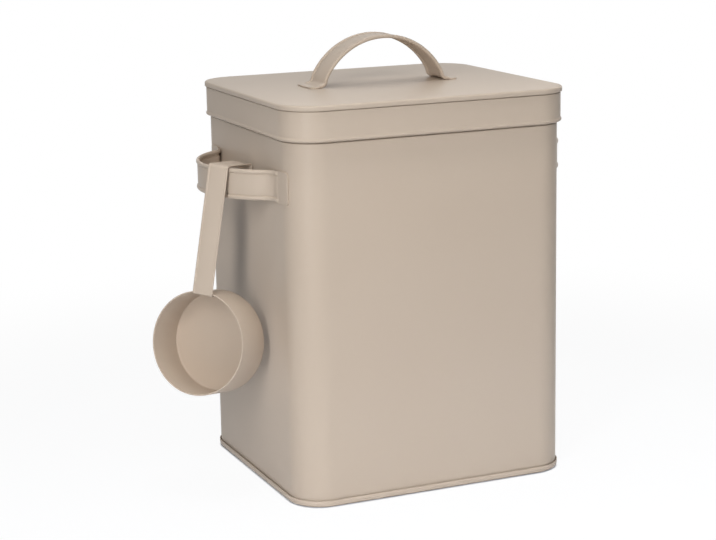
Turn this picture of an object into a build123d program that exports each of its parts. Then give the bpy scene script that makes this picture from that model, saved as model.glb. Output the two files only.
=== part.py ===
from build123d import *
from math import atan2, cos, degrees, radians, sin, sqrt, tan
import os

# A square-sided storage tin of coated sheet steel, with a slip-on lid, strap
# handles and a scoop that hangs by its hook from the left side handle.
# Millimetres. The origin is the centre of the base on the floor, the front
# faces -Y and +Z is up.

# Tin
tin_width = 220.0
tin_depth = 196.0
tin_corner = 25.0
tin_height = 294.6
sheet = 0.8
hem_height = 3.0
lock_seam_width = 6.0

# Base seam
base_recess = 4.0
base_fold_gap = 0.2
seam_height = 5.2
seam_gap = 0.4
seam_round = 0.35

# Lid
lid_clearance = 1.9
lid_seat_gap = 0.3
lid_skirt_depth = 25.4
lid_bead_radius = 1.5
lid_bead_proud = 0.75
lid_fold_gap = 0.3
lid_fold_height = 3.8
lid_edge_round = 1.4

# Straps of the three handles. Their rolled edges are nearly round across, with a narrow flat left.
side_strap_width = 22.3
lid_strap_width = 28.3
strap_web = 1.2
strap_bead = 2.8
strap_bead_width = 3.6
bead_flat = 0.05
foot_margin = 0.85
foot_sheet = 1.2
foot_overlap = 3.0

# Lid handle. The rise is to its outer face, the radii are to the middle of the strap.
lid_handle_rise = 37.5
lid_crown_radius = 53.9
lid_shoulder_radius = 18.6
lid_shoulder_angle = 30.3
lid_foot_radius = 3.9
lid_foot_length = 8.7
lid_foot_corner = 3.5
lid_handle_shift = 3.0

# Side handles. The drop is from the tin's rim to the strap's upper edge.
side_handle_drop = 48.4
side_handle_rise = 37.0
side_crown_radius = 62.4
side_shoulder_radius = 50.0
side_shoulder_angle = 45.0
side_foot_radius = 12.0
side_foot_length = 15.8
side_foot_corner = 2.0
left_handle_shift = -4.0
right_handle_shift = 0.0

# Scoop cup
cup_radius = 38.4
cup_depth = 32.6
cup_sheet = 0.9
cup_corner = 2.0

# Scoop strap, bent into a hook at the top and a tab inside the cup at the bottom
scoop_width = 16.7
scoop_web = 0.9
scoop_bead = 1.4
scoop_bead_width = 2.4
scoop_reach = 131.7
hook_wall_gap = 1.6
hook_lip = 4.5
lip_bend = 1.6
hook_bend = 2.2
hook_opening = 4.5
tab_bend = 1.3
tab_length = 16.0
tab_gap = 0.1
mouth_gap = 0.5

# How the scoop hangs: the way it faces, from -X towards -Y, how far its foot
# swings out, how far it leans, and how far along the handle it hooks on
hang_facing = 39.6
hang_tilt = 10.0
hang_lean = 4.5
hang_shift = -15.6
hang_gap = 0.3

# Places that follow from these sizes
lid_top = tin_height + lid_seat_gap + sheet
lid_skirt_outer = lid_clearance + sheet
lid_fold_outer = lid_skirt_outer + lid_fold_gap + sheet
lid_bead_height = lid_top - sheet - lid_skirt_depth + lid_bead_radius
side_handle_top = tin_height - side_handle_drop
side_handle_height = side_handle_top - side_strap_width / 2
lid_arch = (lid_handle_rise, lid_crown_radius, lid_shoulder_radius, lid_shoulder_angle, lid_foot_radius)
side_arch = (side_handle_rise, side_crown_radius, side_shoulder_radius, side_shoulder_angle, side_foot_radius)


def outline(grow, mode=Mode.ADD):
    """The tin's rounded outline, grown outwards by the same amount all round."""
    RectangleRounded(tin_width + 2 * grow, tin_depth + 2 * grow, tin_corner + grow, mode=mode)


def plate(grow, bottom, top):
    """A flat sheet with the tin's outline."""
    with BuildSketch(Plane.XY.offset(bottom)) as section:
        outline(grow)
    extrude(section.sketch, amount=top - bottom)


def band(inner, outer, bottom, top):
    """A band of sheet that follows the outline, between two growths and two heights."""
    with BuildSketch(Plane.XY.offset(bottom)) as section:
        outline(outer)
        outline(inner, Mode.SUBTRACT)
    extrude(section.sketch, amount=top - bottom)


def strap(path, across, width, web, bead, bead_width):
    """A strap along a path: a thin web between two rolled edges, its width lying across."""
    edge = (width - bead_width) / 2
    with BuildSketch(Plane(origin=path @ 0, x_dir=across, z_dir=path % 0)) as section:
        Rectangle(width - bead_width, web)
        with Locations((-edge, 0), (edge, 0)):
            RectangleRounded(bead_width, bead, (bead - bead_flat) / 2)
    sweep(section.sketch, path=path)


def arch_points(rise, crown_radius, shoulder_radius, shoulder_angle, foot_radius):
    """Where an arch's shoulder arcs are centred, where its feet start, and its legs' angle there."""
    middle = strap_bead / 2
    turned = radians(shoulder_angle)
    shoulder_x = (crown_radius - shoulder_radius) * cos(turned)
    shoulder_y = rise - middle - crown_radius + (crown_radius - shoulder_radius) * sin(turned)
    climb = middle + foot_radius - shoulder_y
    foot_start = shoulder_x + sqrt((shoulder_radius + foot_radius) ** 2 - climb**2)
    return foot_start, degrees(atan2(climb, foot_start - shoulder_x))


def arch(base, width, rise, crown_radius, shoulder_radius, shoulder_angle, foot_radius):
    """A strap that arches over a base plane along its X, both ends bent out flat along the sheet."""
    middle = strap_bead / 2
    foot_start, leg_angle = arch_points(rise, crown_radius, shoulder_radius, shoulder_angle, foot_radius)
    foot_turn = leg_angle - 90
    leg_turn = shoulder_angle - leg_angle
    with BuildLine(Plane(origin=base.origin, x_dir=base.x_dir, z_dir=-base.y_dir)) as path:
        near_end = Line((foot_start + foot_overlap, middle), (foot_start, middle))
        near_foot = JernArc(near_end @ 1, near_end % 1, foot_radius, foot_turn)
        near_leg = JernArc(near_foot @ 1, near_foot % 1, shoulder_radius, leg_turn)
        crown = JernArc(near_leg @ 1, near_leg % 1, crown_radius, 180 - 2 * shoulder_angle)
        far_leg = JernArc(crown @ 1, crown % 1, shoulder_radius, leg_turn)
        far_foot = JernArc(far_leg @ 1, far_leg % 1, foot_radius, foot_turn)
        Line(far_foot @ 1, far_foot @ 1 + far_foot % 1 * foot_overlap)
    strap(path.wire(), base.y_dir, width, strap_web, strap_bead, strap_bead_width)


def feet(base, foot_start, foot_length, foot_width, corner):
    """The outlines of a handle's two flat feet."""
    foot_middle = foot_start + foot_length / 2
    with BuildSketch(base) as section:
        with Locations((-foot_middle, 0), (foot_middle, 0)):
            RectangleRounded(foot_length, foot_width, corner)
    return section.sketch


def side_handle(base):
    """A handle whose feet are pressed to the side wall and to the start of its rounded corners."""
    foot_start = arch_points(*side_arch)[0]
    foot_width = side_strap_width + 2 * foot_margin
    foot_bottom = side_handle_height - foot_width / 2
    with BuildPart() as handle:
        band(0, foot_sheet, foot_bottom, foot_bottom + foot_width)
        foot_outlines = feet(base, foot_start, side_foot_length, foot_width, side_foot_corner)
        extrude(foot_outlines, amount=tin_corner, both=True, mode=Mode.INTERSECT)
        arch(base, side_strap_width, *side_arch)
    return handle.part


# Body wall: one bent sheet, hemmed inwards at the top and joined by a lock seam inside the back
with BuildPart() as body_wall:
    band(-sheet, 0, sheet, tin_height)
    band(-2 * sheet, -sheet, tin_height - hem_height, tin_height)
    lock_seam_bottom = base_recess + 2 * sheet
    with BuildSketch(Plane.XY.offset(lock_seam_bottom)):
        with Locations((0, tin_depth / 2 - 1.5 * sheet)):
            Rectangle(lock_seam_width, sheet)
    extrude(amount=tin_height - hem_height - lock_seam_bottom)

# Base panel: recessed above the floor, its rim folded round the foot of the wall
with BuildPart() as base_panel:
    pressed = -sheet - base_fold_gap
    plate(pressed, base_recess, base_recess + sheet)
    band(pressed - sheet, pressed, 0, base_recess + sheet)
    band(pressed - sheet, seam_gap + sheet, 0, sheet)
    band(seam_gap, seam_gap + sheet, 0, seam_height)
    fillet(edges().group_by(Axis.Z)[0] + edges().group_by(Axis.Z)[-1], seam_round)

# Side handles
left_wall = Plane((-tin_width / 2, left_handle_shift, side_handle_height), x_dir=(0, 1, 0), z_dir=(-1, 0, 0))
right_wall = Plane((tin_width / 2, right_handle_shift, side_handle_height), x_dir=(0, 1, 0), z_dir=(1, 0, 0))
with BuildPart() as side_handle_left:
    add(side_handle(left_wall))
with BuildPart() as side_handle_right:
    add(side_handle(right_wall))

# Lid panel: the flat top, its edge folded down over the skirt
with BuildPart() as lid_panel:
    plate(lid_fold_outer, lid_top - sheet, lid_top)
    band(lid_fold_outer - sheet, lid_fold_outer, lid_top - lid_fold_height, lid_top)
    fillet(edges().group_by(Axis.Z)[-1], lid_edge_round)

# Lid skirt: a band that slips over the tin, its lower edge rolled into a bead
with BuildPart() as lid_skirt:
    band(lid_clearance, lid_skirt_outer, lid_bead_height + lid_bead_radius - sheet / 2, lid_top - sheet)
    with BuildSketch(Plane.XY.offset(lid_bead_height), mode=Mode.PRIVATE) as bead_line:
        outline(lid_skirt_outer + lid_bead_proud - lid_bead_radius)
    bead_path = bead_line.sketch.face().outer_wire()
    with BuildSketch(Plane(origin=bead_path @ 0, z_dir=bead_path % 0)):
        Circle(lid_bead_radius)
    sweep(path=bead_path)

# Lid handle
with BuildPart() as lid_handle:
    lid_face = Plane((0, lid_handle_shift, lid_top))
    lid_foot_start = arch_points(*lid_arch)[0]
    lid_foot_width = lid_strap_width + 2 * foot_margin
    lid_feet = feet(lid_face, lid_foot_start, lid_foot_length, lid_foot_width, lid_foot_corner)
    extrude(lid_feet, amount=foot_sheet)
    arch(lid_face, lid_strap_width, *lid_arch)

# The hook's outer top corner, on a plane with X across the scoop's strap, Y in
# towards the tin and Z up the strap. The strap clears the handle's outer face,
# and the tongue, which slopes down inwards, clears the handle's top edge.
facing_angle = radians(hang_facing)
facing = Vector(-cos(facing_angle), -sin(facing_angle))
along = Vector(sin(facing_angle), -cos(facing_angle))
arch_centre = Vector(side_crown_radius + strap_bead / 2 - side_handle_rise - tin_width / 2, left_handle_shift)
stand_off = side_crown_radius + strap_bead / 2 + hang_gap + scoop_bead


def tongue_drop(side):
    """How far the tongue's edge on this side sinks by the time it has crossed the handle."""
    across = hang_shift + side * scoop_width / 2
    inner_face = sqrt((side_crown_radius - strap_bead / 2) ** 2 - across**2)
    slope = (stand_off - inner_face) * tan(radians(hang_tilt - hook_opening))
    return slope + side * scoop_width / 2 * sin(radians(hang_lean))


hook_corner = arch_centre + facing * stand_off + along * hang_shift
hook_corner.Z = side_handle_top + hang_gap + scoop_bead + max(tongue_drop(-1), tongue_drop(1))
upright = Plane(hook_corner, x_dir=along, z_dir=(0, 0, 1))
hang = Plane(upright.location * Rotation(-hang_tilt, hang_lean, 0))

# Scoop cup: drawn from one disc, its mouth facing away from the tin
with BuildPart() as scoop_cup:
    mouth_centre = hang.from_local_coords((0, scoop_bead + mouth_gap, -scoop_reach))
    with BuildSketch(Plane(mouth_centre, x_dir=hang.x_dir, z_dir=hang.y_dir)) as mouth:
        Circle(cup_radius)
    extrude(amount=cup_depth)
    fillet(edges().sort_by(Axis(mouth_centre, hang.y_dir))[-1], cup_corner)
    offset(amount=-cup_sheet, openings=faces().sort_by(Axis(mouth_centre, hang.y_dir))[0])

# Scoop strap: hooked over the handle at the top, and at the bottom folded round the cup's rim
with BuildPart() as scoop_strap:
    middle = scoop_bead / 2
    inner_corner = hook_corner.X + scoop_width / 2 * hang.x_dir.X
    tongue_end = (-tin_width / 2 - hook_wall_gap - inner_corner) / hang.y_dir.X - middle
    rim_drop = scoop_reach - sqrt((cup_radius - cup_sheet) ** 2 - (scoop_width / 2) ** 2)
    tab_height = -(rim_drop + tab_gap + middle)
    lip_height = (tongue_end - middle) * tan(radians(hook_opening)) - middle
    with BuildLine(Plane(hook_corner, x_dir=hang.y_dir, z_dir=hang.x_dir)) as bends:
        FilletPolyline(
            (tongue_end, lip_height - hook_lip),
            (tongue_end, lip_height),
            (middle, -middle),
            (middle, tab_height),
            (middle + tab_length, tab_height),
            radius=[lip_bend, hook_bend, tab_bend],
        )
    strap(bends.wire(), hang.x_dir, scoop_width, scoop_web, scoop_bead, scoop_bead_width)

os.makedirs("parts", exist_ok=True)
pieces = {
    "body_wall": body_wall,
    "base_panel": base_panel,
    "side_handle_left": side_handle_left,
    "side_handle_right": side_handle_right,
    "lid_panel": lid_panel,
    "lid_skirt": lid_skirt,
    "lid_handle": lid_handle,
    "scoop_cup": scoop_cup,
    "scoop_strap": scoop_strap,
}
for name, piece in pieces.items():
    piece.part.label = name
    export_step(piece.part, f"parts/{name}.step")
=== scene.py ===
import bmesh
import bpy
from math import acos, atan2, cos, degrees, radians, sin, sqrt, tan
from mathutils import Matrix, Vector


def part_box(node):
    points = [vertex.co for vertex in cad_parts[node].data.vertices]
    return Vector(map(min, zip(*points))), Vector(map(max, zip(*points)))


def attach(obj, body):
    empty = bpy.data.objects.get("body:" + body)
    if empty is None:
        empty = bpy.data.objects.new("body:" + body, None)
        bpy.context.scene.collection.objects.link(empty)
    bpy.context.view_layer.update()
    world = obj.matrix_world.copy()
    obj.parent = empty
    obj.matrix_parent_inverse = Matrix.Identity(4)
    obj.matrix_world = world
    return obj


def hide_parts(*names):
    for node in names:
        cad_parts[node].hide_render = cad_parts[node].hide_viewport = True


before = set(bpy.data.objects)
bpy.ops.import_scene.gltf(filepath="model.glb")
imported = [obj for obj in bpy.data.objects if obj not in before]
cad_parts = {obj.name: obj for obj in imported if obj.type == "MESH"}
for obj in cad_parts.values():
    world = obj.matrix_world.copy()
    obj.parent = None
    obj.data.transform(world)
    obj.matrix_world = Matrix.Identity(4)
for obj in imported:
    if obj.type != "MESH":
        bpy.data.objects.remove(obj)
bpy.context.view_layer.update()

# Body wall
# One sheet of steel bent round into a tube with four rounded corners. Its top edge is hemmed
# inwards, its two ends are locked in a flat seam at the back, and it is powder coated all over.
MM = 0.001
wall_low, wall_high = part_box("body_wall")
tin_width = wall_high.x - wall_low.x
tin_depth = wall_high.y - wall_low.y
tin_corner = 25 * MM
wall_sheet = 0.8 * MM
wall_edge_round = 0.2 * MM
wall_foot_height = 2 * MM
hem_radius = 0.85 * MM
hem_depth = 2.2 * MM
neck_height = 26.4 * MM
neck_depth = 1 * MM
neck_step = 0.5 * MM
seam_strip = 6 * MM
seam_groove_width = 0.7 * MM
seam_groove_depth = 0.3 * MM
seam_fold_margin = 5 * MM

# How finely the sheet is drawn: degrees to each flat of a roll, a hem and the tin's corners,
# flats across a rounded cut edge, and the angles from which an edge counts as cut or as sharp.
roll_step = 15
hem_step = 30
corner_step = 3.75
edge_flats = 3
cut_edge_angle = 60
sharp_angle = 35
merge_distance = 0.002 * MM

coat_colour = "#C3B4A4"
coat_deep_colour = "#BDAC9B"
coat_ior = 1.5
coat_specular = 0.13
coat_roughness = 0.4
coat_roughness_drift = 0.04
coat_drift_width = 160 * MM
coat_drift_detail = 2.0
coat_fleck_width = 0.9 * MM
coat_fleck_detail = 3.0
coat_fleck_roughness = 0.6
coat_fleck_share = 0.35
orange_peel_width = 1.6 * MM
orange_peel_depth = 0.012 * MM
orange_peel_detail = 1.0
orange_peel_roughness = 0.4


def linear(colour, alpha=1.0):
    """An sRGB hex colour as the linear values that a shader takes."""
    parts = [int(colour[i:i + 2], 16) / 255 for i in (1, 3, 5)]
    return [c / 12.92 if c <= 0.04045 else ((c + 0.055) / 1.055) ** 2.4 for c in parts] + [alpha]


def add_node(owner, kind, settings=None, inputs=None):
    """Adds one node to a material or a world, with its settings, and its inputs as values or links."""
    node = owner.node_tree.nodes.new(kind)
    for name, value in (settings or {}).items():
        setattr(node, name, value)
    for name, value in (inputs or {}).items():
        if isinstance(value, bpy.types.NodeSocket):
            owner.node_tree.links.new(value, node.inputs[name])
        else:
            node.inputs[name].default_value = value
    return node


def start_line(name, place):
    """A new mesh of one vertex at a place, selected in edit mode: the end of a line to draw on."""
    bpy.ops.object.select_all(action="DESELECT")
    bpy.ops.mesh.primitive_plane_add(size=wall_sheet, location=place)
    piece = bpy.context.object
    piece.name = name
    bpy.ops.object.transform_apply(location=True, rotation=True, scale=True)
    bpy.ops.object.mode_set(mode="EDIT")
    bpy.ops.mesh.select_mode(type="VERT")
    bpy.ops.mesh.select_all(action="SELECT")
    bpy.ops.mesh.merge(type="CENTER")
    return piece


def draw_by(offset):
    """Draws the selection out by one straight offset."""
    bpy.ops.mesh.extrude_region_move(TRANSFORM_OT_translate={"value": offset})


def draw(place, heading, axis, moves, step=roll_step):
    """Draws the selection out along runs, (length,), and bends about the axis, (radius, angle)."""
    for move in moves:
        if len(move) == 1:
            draw_by(heading * move[0])
            place = place + heading * move[0]
        else:
            radius, angle = move
            side = 1 if angle > 0 else -1
            centre = place + axis.cross(heading) * radius * side
            steps = max(1, round(abs(angle) / step))
            bpy.ops.mesh.spin(steps=steps, angle=-radians(angle), center=centre, axis=axis)
            turn = Matrix.Rotation(radians(angle), 3, axis)
            place = centre + turn @ (place - centre)
            heading = turn @ heading


def select(piece, test, kind="verts"):
    """Selects, in edit mode, the vertices, edges or faces of a piece that pass a test."""
    bpy.ops.mesh.select_all(action="DESELECT")
    bpy.ops.mesh.select_mode(type={"verts": "VERT", "edges": "EDGE", "faces": "FACE"}[kind])
    mesh = bmesh.from_edit_mesh(piece.data)
    for part in getattr(mesh, kind):
        part.select_set(test(part))
    mesh.select_flush_mode()
    bmesh.update_edit_mesh(piece.data)


def weld():
    """Merges the doubles of the mesh being drawn and turns its faces outwards."""
    bpy.ops.mesh.select_all(action="SELECT")
    bpy.ops.mesh.remove_doubles(threshold=merge_distance)
    bpy.ops.mesh.normals_make_consistent(inside=False)


def sweep_round_tin(grow):
    """Sweeps the line drawn on the right side once round the tin's rounded outline, and closes it."""
    half_side = (tin_depth / 2 - tin_corner,)
    whole_side = (tin_depth - 2 * tin_corner,)
    whole_front = (tin_width - 2 * tin_corner,)
    bend = (tin_corner + grow, 90)
    bpy.ops.mesh.select_all(action="SELECT")
    draw(
        Vector((tin_width / 2 + grow, 0, 0)), Vector((0, 1, 0)), Vector((0, 0, 1)),
        [half_side, bend, whole_front, bend, whole_side, bend, whole_front, bend, half_side],
        corner_step,
    )
    weld()


def use_modifier(piece, kind, **settings):
    """Adds one modifier to a piece and applies it."""
    bpy.ops.object.mode_set(mode="OBJECT")
    modifier = piece.modifiers.new(kind.title(), kind)
    for name, value in settings.items():
        setattr(modifier, name, value)
    bpy.ops.object.modifier_apply(modifier=modifier.name)


def thicken(piece, sheet, edge_round):
    """Gives a drawn surface its sheet's thickness, inwards, and rounds the sheet's cut edges."""
    use_modifier(
        piece, "SOLIDIFY", thickness=sheet, offset=-1, use_even_offset=True, use_quality_normals=True
    )
    use_modifier(
        piece, "BEVEL", width=edge_round, segments=edge_flats, limit_method="ANGLE",
        angle_limit=radians(cut_edge_angle), use_clamp_overlap=True,
    )


def pick(piece):
    """Makes a piece the active one and the only one selected."""
    bpy.ops.object.select_all(action="DESELECT")
    piece.select_set(True)
    bpy.context.view_layer.objects.active = piece


def finish_piece(piece, material, body, node):
    """Shades a finished piece, gives it its material, and puts it in its CAD node's place."""
    pick(piece)
    bpy.ops.object.shade_smooth_by_angle(angle=radians(sharp_angle))
    piece.data.materials.clear()
    piece.data.materials.append(material)
    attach(piece, body)
    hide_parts(node)


# Powder-coated steel: satin, a little soft in its highlights, with the faint orange peel that the
# baked powder leaves and a slow drift of tone. The peel is drawn coarser than real, so it shows.
powder_coat = bpy.data.materials.new("powder-coated steel")
powder_coat.use_nodes = True
coat_shader = powder_coat.node_tree.nodes["Principled BSDF"]
coat_place = add_node(powder_coat, "ShaderNodeTexCoord").outputs["Object"]
coat_drift = add_node(
    powder_coat, "ShaderNodeTexNoise", {},
    {"Vector": coat_place, "Scale": 1 / coat_drift_width, "Detail": coat_drift_detail},
)
coat_flecks = add_node(
    powder_coat, "ShaderNodeTexNoise", {},
    {"Vector": coat_place, "Scale": 1 / coat_fleck_width, "Detail": coat_fleck_detail,
     "Roughness": coat_fleck_roughness},
)
coat_tone = add_node(
    powder_coat, "ShaderNodeMath", {"operation": "MULTIPLY_ADD"},
    {0: coat_flecks.outputs["Fac"], 1: coat_fleck_share, 2: coat_drift.outputs["Fac"]},
)
coat_mix = add_node(
    powder_coat, "ShaderNodeMix", {"data_type": "RGBA"},
    {"Factor": coat_tone.outputs[0], "A": linear(coat_deep_colour), "B": linear(coat_colour)},
)
coat_gloss = add_node(
    powder_coat, "ShaderNodeMapRange", {},
    {"Value": coat_flecks.outputs["Fac"], "To Min": coat_roughness - coat_roughness_drift,
     "To Max": coat_roughness + coat_roughness_drift},
)
coat_peel = add_node(
    powder_coat, "ShaderNodeTexNoise", {},
    {"Vector": coat_place, "Scale": 1 / orange_peel_width, "Detail": orange_peel_detail,
     "Roughness": orange_peel_roughness},
)
coat_bump = add_node(
    powder_coat, "ShaderNodeBump", {},
    {"Height": coat_peel.outputs["Fac"], "Distance": orange_peel_depth, "Strength": 1.0},
)
for coat_output, coat_input in (
    (coat_mix.outputs["Result"], "Base Color"),
    (coat_gloss.outputs["Result"], "Roughness"),
    (coat_bump.outputs["Normal"], "Normal"),
):
    powder_coat.node_tree.links.new(coat_output, coat_shader.inputs[coat_input])
coat_shader.inputs["IOR"].default_value = coat_ior
coat_shader.inputs["Specular IOR Level"].default_value = coat_specular

upwards = Vector((0, 0, 1))
backwards = Vector((0, 1, 0))
wall_foot = Vector((tin_width / 2, 0, wall_low.z + wall_foot_height))
neck_foot = wall_high.z - neck_height
neck_in = Vector((-neck_depth, 0, neck_step))
wall = start_line("tin_wall", wall_foot)
draw_by((0, 0, neck_foot - wall_foot.z))
draw_by(neck_in)
draw(
    Vector((tin_width / 2, 0, neck_foot)) + neck_in, upwards, backwards,
    [(neck_height - neck_step - hem_radius,), (hem_radius, -180), (hem_depth,)],
    hem_step,
)
sweep_round_tin(0)
back = tin_depth / 2
groove_start = seam_strip / 2 - seam_groove_width
groove_end = seam_strip / 2
for seam_edge in (groove_start, groove_end):
    select(wall, lambda face: face.calc_center_median().y > back - merge_distance, "faces")
    bpy.ops.mesh.bisect(plane_co=(seam_edge, 0, 0), plane_no=(1, 0, 0))
select(
    wall,
    lambda face: face.calc_center_median().y > back - merge_distance
    and groove_start < face.calc_center_median().x < groove_end,
    "faces",
)
draw_by((0, -seam_groove_depth, 0))
thicken(wall, wall_sheet, wall_edge_round)
seam_low = wall_low.z + seam_fold_margin
seam_high = wall_high.z - 2 * hem_radius - hem_depth
bpy.ops.object.select_all(action="DESELECT")
bpy.ops.mesh.primitive_cube_add(
    size=1, location=(0, back - 1.5 * wall_sheet, (seam_low + seam_high) / 2),
    scale=(seam_strip, wall_sheet, seam_high - seam_low),
)
seam_fold = bpy.context.object
bpy.ops.object.transform_apply(location=True, rotation=True, scale=True)
use_modifier(seam_fold, "BEVEL", width=wall_edge_round, segments=edge_flats)
wall.select_set(True)
bpy.context.view_layer.objects.active = wall
bpy.ops.object.join()
finish_piece(wall, powder_coat, "tin", "body_wall")

# Base panel
# The pressed steel bottom, recessed above the floor. Its rim is folded round the foot of the
# wall in a seam squeezed in two bands, and the tin stands on a narrow ring inside the seam.
base_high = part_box("base_panel")[1]
base_sheet = 0.45 * MM
base_grow = base_high.x - tin_width / 2
seam_upper_band = 2.3 * MM
seam_step_radius = 0.3 * MM
seam_step_turn = 60
seam_lip_radius = 0.5 * MM
seam_lip_run = 1.2 * MM
foot_ring_height = 1.1 * MM
foot_ring_radius = 0.5 * MM
foot_ring_inner = -3.6 * MM
panel_height = 4 * MM
panel_bend = 0.7 * MM
panel_margin = 6 * MM

seam_step_in = 2 * seam_step_radius * (1 - cos(radians(seam_step_turn)))
seam_step_drop = 2 * seam_step_radius * sin(radians(seam_step_turn))
seam_lower_band = base_high.z - seam_upper_band - seam_step_drop - seam_lip_radius - foot_ring_height
foot_ring_reach = base_grow - seam_step_in - seam_lip_radius - seam_lip_run - 2 * foot_ring_radius
foot_ring_run = foot_ring_reach - foot_ring_inner - panel_bend
base_start = Vector((tin_width / 2 + base_grow, 0, base_high.z))
base = start_line("tin_base", base_start)
draw(
    base_start, -upwards, backwards,
    [(seam_upper_band,), (seam_step_radius, seam_step_turn), (seam_step_radius, -seam_step_turn),
     (seam_lower_band,), (seam_lip_radius, 90), (seam_lip_run,), (foot_ring_radius, -90),
     (foot_ring_height - 2 * foot_ring_radius,), (foot_ring_radius, 90), (foot_ring_run,),
     (panel_bend, 90), (panel_height - 2 * panel_bend,), (panel_bend, -90), (panel_margin,)],
)
sweep_round_tin(base_grow)


def cap_middle(piece, height):
    """Closes the flat middle of a swept panel, at a height, inside the last ring of its sweep."""
    def on_inner_ring(edge):
        return edge.is_boundary and all(
            abs(v.co.z - height) < merge_distance and abs(v.co.x) < tin_width / 2 for v in edge.verts
        )

    select(piece, on_inner_ring, "edges")
    bpy.ops.mesh.edge_face_add()
    weld()


cap_middle(base, panel_height)
thicken(base, base_sheet, wall_edge_round)
finish_piece(base, powder_coat, "tin", "base_panel")

# Side handles
# Each is a strap with rolled edges, pressed to an arch. Its two ends are flattened into feet that
# are spot welded to the wall and follow the start of the wall's rounded corners.
side_strap_width = 22.3 * MM
strap_web = 1.2 * MM
strap_bead = 2.8 * MM
strap_bead_flat = 0.4 * MM
strap_slit = 2 * MM
strap_groove = 0.3 * MM
strap_round = 0.1 * MM
groove_turn = 45
section_step = 30
arch_step = 4
foot_margin = 0.85 * MM
foot_fade = 3.2 * MM
foot_fade_rings = 5
foot_corner_rings = 5
foot_edge = 0.25 * MM
foot_edge_thinning = 0.5
side_handle_middle = 235.05 * MM
side_handle_rise = 37 * MM
side_crown_radius = 62.4 * MM
side_shoulder_radius = 50 * MM
side_shoulder_turn = 45
side_foot_radius = 12 * MM
side_foot_length = 15.8 * MM
side_foot_corner = 2 * MM
left_handle_shift = -4 * MM


def dumbbell(name, place, across, axis, width, web, bead, bead_flat, slit, groove):
    """A strap's cross-section, drawn as a closed line: a thin web between two rolled edges. Inside,
    the roll leaves a slit beside the web, and outside a groove runs along its root."""
    inward = axis.cross(across)
    bend = strap_round
    turn = degrees(acos(1 - (bead - web) / 2 / (bend + bead / 2)))
    rise = (bend + bead / 2) * sin(radians(turn)) + groove / tan(radians(turn))
    climb = (groove - 2 * bend * (1 - cos(radians(groove_turn)))) / sin(radians(groove_turn))
    groove_run = 2 * bend * sin(radians(groove_turn)) + climb * cos(radians(groove_turn))
    outer_half = width / 2 - bead / 2 - bead_flat - rise - groove_run
    inner_half = width / 2 - bead - bead_flat - slit - bend
    edge = [(bend, -90), (web / 2 - bend,), (bend, 90), (slit - 2 * bend,), (bend, 90), (bead / 2, -90),
            (bead_flat,), (bead / 2, -180), (bead_flat,), (bead / 2, -turn),
            (groove / sin(radians(turn)),), (bend, turn + groove_turn), (climb,), (bend, -groove_turn)]
    outline = [(inner_half,)] + edge + [(2 * outer_half,)] + edge[::-1] + [(inner_half,)]
    start = place + inward * web / 2
    piece = start_line(name, start)
    draw(start, across, axis, outline, section_step)
    bpy.ops.mesh.select_all(action="SELECT")
    bpy.ops.mesh.remove_doubles(threshold=merge_distance)
    return piece


def squeeze(height, across, flatness):
    """Scales the selection about a height over the middle: along Y by across, upwards by flatness."""
    bpy.ops.transform.resize(value=(1, across, flatness), center_override=(0, 0, height))


def strap_foot(piece, side, start, length, corner, width, wrap):
    """Draws one flat foot from an arch's end along X, rounds its end, and wraps it round a corner.
    wrap is where the corner starts and its radius, or None on a flat sheet."""
    end = start + length
    foot_width = width + 2 * foot_margin
    fading = [start + foot_fade * (i + 1) / foot_fade_rings for i in range(foot_fade_rings)]
    fading.append((fading[-1] + end - corner) / 2)
    angles = [90 * i / foot_corner_rings for i in range(foot_corner_rings + 1)]
    rounding = [end - corner * (1 - sin(radians(angle))) for angle in angles]
    rings = fading + rounding + [end + foot_edge]
    x = start
    for ring in rings:
        draw_by((side * (ring - x), 0, 0))
        x = ring

    def on_ring(ring):
        return lambda v: abs(v.co.x - side * ring) < merge_distance

    middle = strap_bead / 2
    sheet_middle = strap_web / 2
    clear = strap_round + merge_distance
    for index, ring in enumerate(rings):
        share = min(1, (index + 1) / foot_fade_rings)
        eased = share * share * (3 - 2 * share)
        for face in (1, -1):
            select(piece, lambda v: on_ring(ring)(v) and (v.co.z - middle) * face > clear)
            squeeze(middle + face * sheet_middle, 1, 1 - eased)
        select(piece, on_ring(ring))
        squeeze(middle, 1 + (foot_width / width - 1) * eased, 1)
        bpy.ops.transform.translate(value=(0, 0, (sheet_middle - middle) * eased))
    for angle, ring in zip(angles, rounding):
        select(piece, on_ring(ring))
        squeeze(sheet_middle, 1 - 2 * corner * (1 - cos(radians(angle))) / foot_width, 1)
    select(piece, on_ring(end + foot_edge))
    squeeze(sheet_middle, 1 - 2 * (corner + foot_edge) / foot_width, foot_edge_thinning)
    bpy.ops.mesh.edge_face_add()
    if wrap is None:
        return
    corner_start, corner_radius = wrap
    corner_centre = Vector((side * corner_start, 0, -corner_radius))
    for ring in rings:
        if ring <= corner_start:
            continue
        select(piece, on_ring(ring))
        bpy.ops.transform.translate(value=(side * (corner_start - ring), 0, 0))
        turn = side * (ring - corner_start) / corner_radius
        bpy.ops.transform.rotate(value=-turn, orient_axis="Y", center_override=corner_centre)


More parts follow.
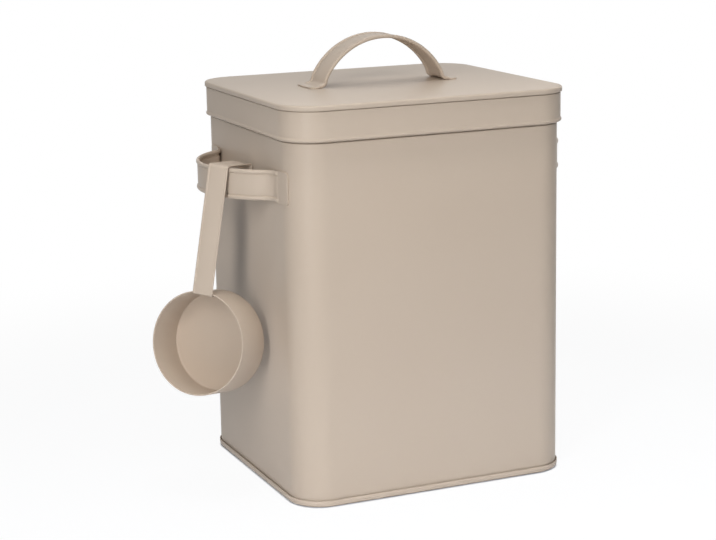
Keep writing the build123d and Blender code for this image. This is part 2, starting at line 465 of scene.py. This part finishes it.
def strap_handle(
    name, width, rise, crown_radius, shoulder_radius, shoulder_turn, foot_radius, foot_length, corner, wraps
):
    """A strap handle that stands on the XY plane and arches along X, with a foot at each end."""
    middle = strap_bead / 2
    turned = radians(shoulder_turn)
    shoulder_x = (crown_radius - shoulder_radius) * cos(turned)
    shoulder_z = rise - middle - crown_radius + (crown_radius - shoulder_radius) * sin(turned)
    climb = middle + foot_radius - shoulder_z
    foot_start = shoulder_x + sqrt((shoulder_radius + foot_radius) ** 2 - climb ** 2)
    leg_turn = degrees(atan2(climb, foot_start - shoulder_x))
    crown = Vector((0, 0, rise - middle))
    piece = dumbbell(
        name, crown, Vector((0, 1, 0)), Vector((-1, 0, 0)),
        width, strap_web, strap_bead, strap_bead_flat, strap_slit, strap_groove,
    )
    for side in (1, -1):
        select(piece, lambda v: abs(v.co.x) < merge_distance)
        draw(
            crown, Vector((side, 0, 0)), Vector((0, side, 0)),
            [(crown_radius, 90 - shoulder_turn), (shoulder_radius, shoulder_turn - leg_turn),
             (foot_radius, leg_turn - 90)],
            arch_step,
        )
        strap_foot(piece, side, foot_start, foot_length, corner, width, wraps[side])
    weld()
    bpy.ops.object.mode_set(mode="OBJECT")
    return piece


def set_in_place(piece, origin, x_axis, z_axis):
    """Moves a piece made at the world's origin to a plane, and applies its place to its mesh."""
    turn = Matrix((x_axis, z_axis.cross(x_axis), z_axis)).transposed().to_4x4()
    piece.matrix_world = Matrix.Translation(origin) @ turn
    pick(piece)
    bpy.ops.object.transform_apply(location=True, rotation=True, scale=True)


for node, side, shift in (("side_handle_left", -1, left_handle_shift), ("side_handle_right", 1, 0)):
    corner_y = tin_depth / 2 - tin_corner
    handle = strap_handle(
        "handle_of_the_" + node.split("_")[-1] + "_side", side_strap_width, side_handle_rise,
        side_crown_radius, side_shoulder_radius, side_shoulder_turn, side_foot_radius,
        side_foot_length, side_foot_corner,
        {1: (corner_y - shift, tin_corner), -1: (corner_y + shift, tin_corner)},
    )
    handle_place = Vector((side * tin_width / 2, shift, side_handle_middle))
    set_in_place(handle, handle_place, Vector((0, 1, 0)), Vector((side, 0, 0)))
    finish_piece(handle, powder_coat, "tin", node)

# Lid panel
# The flat pressed top of the lid. Its edge is turned down all round over the top of the skirt,
# and the turned edge stands clear of it by a hairline that shows dark.
panel_low, panel_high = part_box("lid_panel")
lid_sheet = 0.6 * MM
lid_edge_round = 1.4 * MM
lid_rim = 8 * MM
lid_rim_start = Vector((panel_high.x - lid_edge_round - lid_rim, 0, panel_high.z))
lid_top = start_line("lid_top", lid_rim_start)
draw(
    lid_rim_start, Vector((1, 0, 0)), backwards,
    [(lid_rim,), (lid_edge_round, 90), (panel_high.z - panel_low.z - lid_edge_round,)],
)
sweep_round_tin(lid_rim_start.x - tin_width / 2)
cap_middle(lid_top, panel_high.z)
thicken(lid_top, lid_sheet, wall_edge_round)
finish_piece(lid_top, powder_coat, "lid", "lid_panel")

# Lid skirt
# A band of sheet that slips down over the tin, necked in at the top where the panel is folded over
# it. Its lower edge is rolled outwards and round into a small bead that stands a little proud.
skirt_low, skirt_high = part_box("lid_skirt")
skirt_sheet = 0.7 * MM
skirt_grow = 2.7 * MM
skirt_neck_depth = 0.7 * MM
skirt_neck_below = 0.55 * MM
skirt_neck_step = 0.3 * MM
skirt_bead_radius = 1.5 * MM
skirt_flare_radius = 1.2 * MM
skirt_roll_turn = 235
skirt_bead_proud = skirt_high.x - tin_width / 2 - skirt_grow
flare_turn = degrees(acos(1 - skirt_bead_proud / (skirt_flare_radius + skirt_bead_radius)))
flare_drop = (skirt_flare_radius + skirt_bead_radius) * sin(radians(flare_turn))
skirt_top = Vector((tin_width / 2 + skirt_grow - skirt_neck_depth, 0, skirt_high.z))
skirt_neck = Vector((0, 0, panel_low.z - skirt_high.z - skirt_neck_below))
skirt_neck_out = Vector((skirt_neck_depth, 0, -skirt_neck_step))
skirt_shoulder = skirt_top + skirt_neck + skirt_neck_out
skirt = start_line("lid_skirt_band", skirt_top)
draw_by(skirt_neck)
draw_by(skirt_neck_out)
draw(
    skirt_shoulder, -upwards, backwards,
    [(skirt_shoulder.z - skirt_low.z - skirt_bead_radius - flare_drop,),
     (skirt_flare_radius, -flare_turn), (skirt_bead_radius, flare_turn + skirt_roll_turn)],
)
sweep_round_tin(skirt_grow - skirt_neck_depth)
thicken(skirt, skirt_sheet, wall_edge_round)
finish_piece(skirt, powder_coat, "lid", "lid_skirt")

# Lid handle
# The same rolled-edge strap as the side handles, but wider, arched higher and tighter, with two
# short feet that are spot welded to the lid.
lid_handle_low, lid_handle_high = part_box("lid_handle")
lid_handle_place = Vector((0, (lid_handle_high.y + lid_handle_low.y) / 2, lid_handle_low.z))
lid_strap_width = 28.3 * MM
lid_crown_radius = 53.9 * MM
lid_shoulder_radius = 18.6 * MM
lid_shoulder_turn = 30.3
lid_foot_radius = 3.9 * MM
lid_foot_length = 8.7 * MM
lid_foot_corner = 3.5 * MM
lid_handle = strap_handle(
    "handle_of_the_lid", lid_strap_width, lid_handle_high.z - lid_handle_low.z, lid_crown_radius,
    lid_shoulder_radius, lid_shoulder_turn, lid_foot_radius, lid_foot_length, lid_foot_corner,
    {1: None, -1: None},
)
set_in_place(lid_handle, lid_handle_place, Vector((1, 0, 0)), upwards)
finish_piece(lid_handle, powder_coat, "lid", "lid_handle")

# Scoop cup
# A round cup deep drawn from one disc of steel, with a small radius round its base and a plain
# trimmed rim. It is made upright at the origin, then hung with its mouth away from the tin.
cup_radius = 38.4 * MM
cup_depth = 32.6 * MM
cup_sheet = 0.9 * MM
cup_rim_round = 0.4 * MM
cup_corner = 2 * MM
cup_flats = 96
scoop_reach = 131.7 * MM
scoop_bead = 1 * MM
mouth_gap = 0.9 * MM

# How the scoop hangs: the outer top corner of its hook, the way across its strap, and the way in
# towards the tin, which is squared to the way across.
hook_corner = Vector((-143.612, -33.731, 249.03)) * MM
scoop_across = Vector((0.625, -0.7768, -0.0773)).normalized()
scoop_inward = Vector((0.7588, 0.6277, -0.1736))
scoop_inward = (scoop_inward - scoop_across * scoop_inward.dot(scoop_across)).normalized()
scoop_up = scoop_across.cross(scoop_inward)

cup_base = Vector((0, 0, cup_depth))
cup = start_line("scoop_cup_drawn", cup_base)
draw(
    cup_base, Vector((1, 0, 0)), backwards,
    [(cup_radius - cup_corner,), (cup_corner, 90), (cup_depth - cup_corner,)],
)
bpy.ops.mesh.select_all(action="SELECT")
bpy.ops.mesh.spin(steps=cup_flats, angle=radians(360), center=(0, 0, 0), axis=(0, 0, 1))
weld()
thicken(cup, cup_sheet, cup_rim_round)
mouth_centre = hook_corner + scoop_inward * (scoop_bead + mouth_gap) - scoop_up * scoop_reach
set_in_place(cup, mouth_centre, scoop_across, scoop_inward)
finish_piece(cup, powder_coat, "scoop", "scoop_cup")

# Scoop strap
# A long strap with narrow rolled edges, bent over at the top into the hook that holds it on the
# side handle, and folded round the cup's rim at the bottom into a tab that is spot welded inside.
scoop_width = 16.7 * MM
scoop_web = 0.6 * MM
scoop_bead_flat = 0.7 * MM
scoop_slit = 0.3 * MM
scoop_groove = 0.15 * MM
scoop_bend_step = 9
hook_lip = 4.5 * MM
hook_opening = 4.5
hook_bend = 2.2 * MM
lip_bend = 1.6 * MM
tongue_length = 34.611 * MM
tab_bend = 1.3 * MM
tab_length = 16 * MM
tab_gap = 0.1 * MM
tab_round = 2.5 * MM
tab_rings = 5

strap_middle = scoop_bead / 2
rim_drop = scoop_reach - sqrt((cup_radius - cup_sheet) ** 2 - (scoop_width / 2) ** 2)
tab_height = rim_drop + tab_gap + strap_middle
tongue_reach = tongue_length - strap_middle
tongue_rise = tongue_reach * tan(radians(hook_opening))
lip_turn = 90 + hook_opening
hook_turn = 90 - hook_opening
lip_tangent = lip_bend * tan(radians(lip_turn / 2))
hook_tangent = hook_bend * tan(radians(hook_turn / 2))
lip_end = Vector((0, tongue_length, tongue_rise - strap_middle - hook_lip))
scoop_strap = dumbbell(
    "scoop_strap_bent", lip_end, Vector((1, 0, 0)), -upwards,
    scoop_width, scoop_web, scoop_bead, scoop_bead_flat, scoop_slit, scoop_groove,
)
draw(
    lip_end, upwards, Vector((1, 0, 0)),
    [(hook_lip - lip_tangent,), (lip_bend, lip_turn),
     (tongue_reach / cos(radians(hook_opening)) - lip_tangent - hook_tangent,), (hook_bend, hook_turn),
     (tab_height - strap_middle - hook_tangent - tab_bend,), (tab_bend, 90),
     (tab_length - tab_bend - tab_round,)],
    scoop_bend_step,
)
tab_end = Vector((0, strap_middle + tab_length - tab_round, -tab_height))
for ring in range(tab_rings):
    before, after = (radians(90 * (ring + add) / tab_rings) for add in (0, 1))
    half_before, half_after = (scoop_width / 2 - tab_round * (1 - cos(angle)) for angle in (before, after))
    draw_by((0, tab_round * (sin(after) - sin(before)), 0))
    bpy.ops.transform.resize(value=(half_after / half_before, 1, 1), center_override=tab_end)
bpy.ops.mesh.edge_face_add()
select(scoop_strap, lambda edge: edge.is_boundary, "edges")
bpy.ops.mesh.edge_face_add()
weld()
bpy.ops.object.mode_set(mode="OBJECT")
set_in_place(scoop_strap, hook_corner, scoop_across, scoop_up)
finish_piece(scoop_strap, powder_coat, "scoop", "scoop_strap")

# Camera
# It stands in front and to the left, a little above the tin's middle, and frames the tin with its
# corner towards the eye. Its focal length is given in pixels, at the frame's width.
frame_width = 716
sensor_width = 36
view_azimuth = -23.45
view_elevation = 11.96
view_roll = -1.0
view_distance = 1453.31 * MM
view_focus = 1879.22
view_target = Vector((-20.14, 0, 167.07)) * MM
view_shift_down = 20

azimuth = radians(view_azimuth)
elevation = radians(view_elevation)
roll = radians(view_roll)
back_axis = Vector((sin(azimuth) * cos(elevation), -cos(azimuth) * cos(elevation), sin(elevation)))
right_axis = Vector((cos(azimuth), sin(azimuth), 0))
up_axis = back_axis.cross(right_axis)
rolled_right = right_axis * cos(roll) + up_axis * sin(roll)
rolled_up = up_axis * cos(roll) - right_axis * sin(roll)
camera_data = bpy.data.cameras.new("photo_camera")
camera_data.sensor_width = sensor_width
camera_data.lens = view_focus / frame_width * sensor_width
camera_data.shift_y = -view_shift_down / frame_width
camera = bpy.data.objects.new("photo_camera", camera_data)
camera_turn = Matrix((rolled_right, rolled_up, back_axis)).transposed().to_4x4()
camera.matrix_world = Matrix.Translation(view_target + back_axis * view_distance) @ camera_turn
bpy.context.scene.collection.objects.link(camera)
bpy.context.scene.camera = camera

# Studio lights
# A tall soft box at the front left, which draws the bright band down the tin's corner, broad ones in
# front, to the right and overhead, and a strip that only brightens the table before the tin.
tin_middle = Vector((0, 0, 150)) * MM
floor_before_tin = Vector((0, -300, 0)) * MM
table_strip_spread = 40


def soft_box(name, bearing, height, distance, size, power, aim):
    """A soft box that stands at a bearing from the front, counted to the left, and faces a point."""
    light = bpy.data.lights.new(name, "AREA")
    light.shape = "RECTANGLE"
    light.size, light.size_y = size
    light.energy = power
    lamp = bpy.data.objects.new(name, light)
    left = radians(bearing)
    up = radians(height)
    away = Vector((-sin(left) * cos(up), -cos(left) * cos(up), sin(up)))
    lamp_turn = away.to_track_quat("Z", "Y").to_matrix().to_4x4()
    lamp.matrix_world = Matrix.Translation(aim + away * distance) @ lamp_turn
    bpy.context.scene.collection.objects.link(lamp)
    return light


soft_box(
    "tall_soft_box", bearing=43, height=18, distance=1.3,
    size=(0.2, 1.0), power=9.6, aim=tin_middle,
)
soft_box(
    "front_soft_box", bearing=-6, height=42, distance=1.6,
    size=(1.3, 0.7), power=8.6, aim=floor_before_tin,
)
soft_box(
    "right_soft_box", bearing=-65, height=40, distance=1.8,
    size=(1.0, 1.0), power=2.0, aim=tin_middle,
)
soft_box(
    "overhead_soft_box", bearing=180, height=74, distance=1.5,
    size=(1.6, 1.2), power=9.0, aim=tin_middle,
)
table_strip = soft_box(
    "table_strip_box", bearing=0, height=89.9, distance=1.3,
    size=(1.2, 0.25), power=1.0, aim=floor_before_tin,
)
table_strip.spread = radians(table_strip_spread)

# Floor
# A table of matt white paper that keeps the tin's shadow and ends a little way off, in a white room.
# Light meets the paper's own tone, and the camera sees it fade to plain white outwards.
floor_size = 12
paper_colour = "#F0F5FD"
table_end_colour = "#303030"
white = "#FFFFFF"
paper_roughness = 0.9
table_reach = 0.3
table_fade = 0.5
shadow_reach = 0.3
shadow_fade = 0.45
floor_white_near = 0.93
contact_fade = 2 * MM

bpy.ops.object.select_all(action="DESELECT")
bpy.ops.mesh.primitive_plane_add(size=floor_size, location=(0, 0, 0))
floor = bpy.context.object
floor.name = "floor"


def seen_directly(owner):
    """The share of rays that show a white background: the camera's, and those that mirror or pass it."""
    rays = add_node(owner, "ShaderNodeLightPath").outputs
    share = rays["Is Camera Ray"]
    for kind in ("Is Glossy Ray", "Is Transmission Ray"):
        either = add_node(owner, "ShaderNodeMath", {"operation": "MAXIMUM"}, {0: share, 1: rays[kind]})
        share = either.outputs[0]
    return share


# Matt white paper: one even, soft white. The distance from the middle sets its tone and how white
# it shows, and the distance from the tin's rounded foot draws the thin dark line of contact.
paper = bpy.data.materials.new("matt white paper")
paper.use_nodes = True
paper_shader = paper.node_tree.nodes["Principled BSDF"]
paper_shader.inputs["Roughness"].default_value = paper_roughness
paper_place = add_node(paper, "ShaderNodeTexCoord").outputs["Object"]
paper_distance = add_node(paper, "ShaderNodeVectorMath", {"operation": "LENGTH"}, {0: paper_place})
paper_end = add_node(
    paper, "ShaderNodeMapRange", {},
    {"Value": paper_distance.outputs["Value"], "From Min": table_reach,
     "From Max": table_reach + table_fade},
)
paper_tone = add_node(
    paper, "ShaderNodeMix", {"data_type": "RGBA"},
    {"Factor": paper_end.outputs["Result"], "A": linear(paper_colour), "B": linear(table_end_colour)},
)
paper.node_tree.links.new(paper_tone.outputs["Result"], paper_shader.inputs["Base Color"])
paper_white = add_node(
    paper, "ShaderNodeMapRange", {"interpolation_type": "SMOOTHSTEP"},
    {"Value": paper_distance.outputs["Value"], "From Min": shadow_reach,
     "From Max": shadow_reach + shadow_fade, "To Min": floor_white_near, "To Max": 1.0},
)
paper_side = add_node(paper, "ShaderNodeVectorMath", {"operation": "ABSOLUTE"}, {0: paper_place})
paper_past = add_node(
    paper, "ShaderNodeVectorMath", {"operation": "SUBTRACT"},
    {0: paper_side.outputs["Vector"], 1: (tin_width / 2 - tin_corner, tin_depth / 2 - tin_corner, 0)},
)
paper_outside = add_node(
    paper, "ShaderNodeVectorMath", {"operation": "MAXIMUM"}, {0: paper_past.outputs["Vector"], 1: (0, 0, 0)}
)
paper_gap = add_node(
    paper, "ShaderNodeVectorMath", {"operation": "LENGTH"}, {0: paper_outside.outputs["Vector"]}
)
paper_clear = add_node(
    paper, "ShaderNodeMapRange", {"interpolation_type": "SMOOTHSTEP"},
    {"Value": paper_gap.outputs["Value"], "From Min": tin_corner, "From Max": tin_corner + contact_fade},
)
paper_shown = add_node(
    paper, "ShaderNodeMath", {"operation": "MULTIPLY"},
    {0: paper_white.outputs["Result"], 1: paper_clear.outputs["Result"]},
)
paper_share = add_node(
    paper, "ShaderNodeMath", {"operation": "MULTIPLY"}, {0: seen_directly(paper), 1: paper_shown.outputs[0]}
)
paper_glow = add_node(paper, "ShaderNodeEmission", {}, {"Color": linear(white), "Strength": 1.0})
paper_mix = add_node(
    paper, "ShaderNodeMixShader", {},
    {0: paper_share.outputs[0], 1: paper_shader.outputs[0], 2: paper_glow.outputs[0]},
)
paper.node_tree.links.new(paper_mix.outputs[0], paper.node_tree.nodes["Material Output"].inputs["Surface"])
floor.data.materials.append(paper)

world = bpy.data.worlds.new("white room")
bpy.context.scene.world = world
world.use_nodes = True
room = world.node_tree.nodes["Background"]
room.inputs["Color"].default_value = linear(white)
world.node_tree.links.new(seen_directly(world), room.inputs["Strength"])

bpy.context.scene.view_settings.view_transform = "Standard"
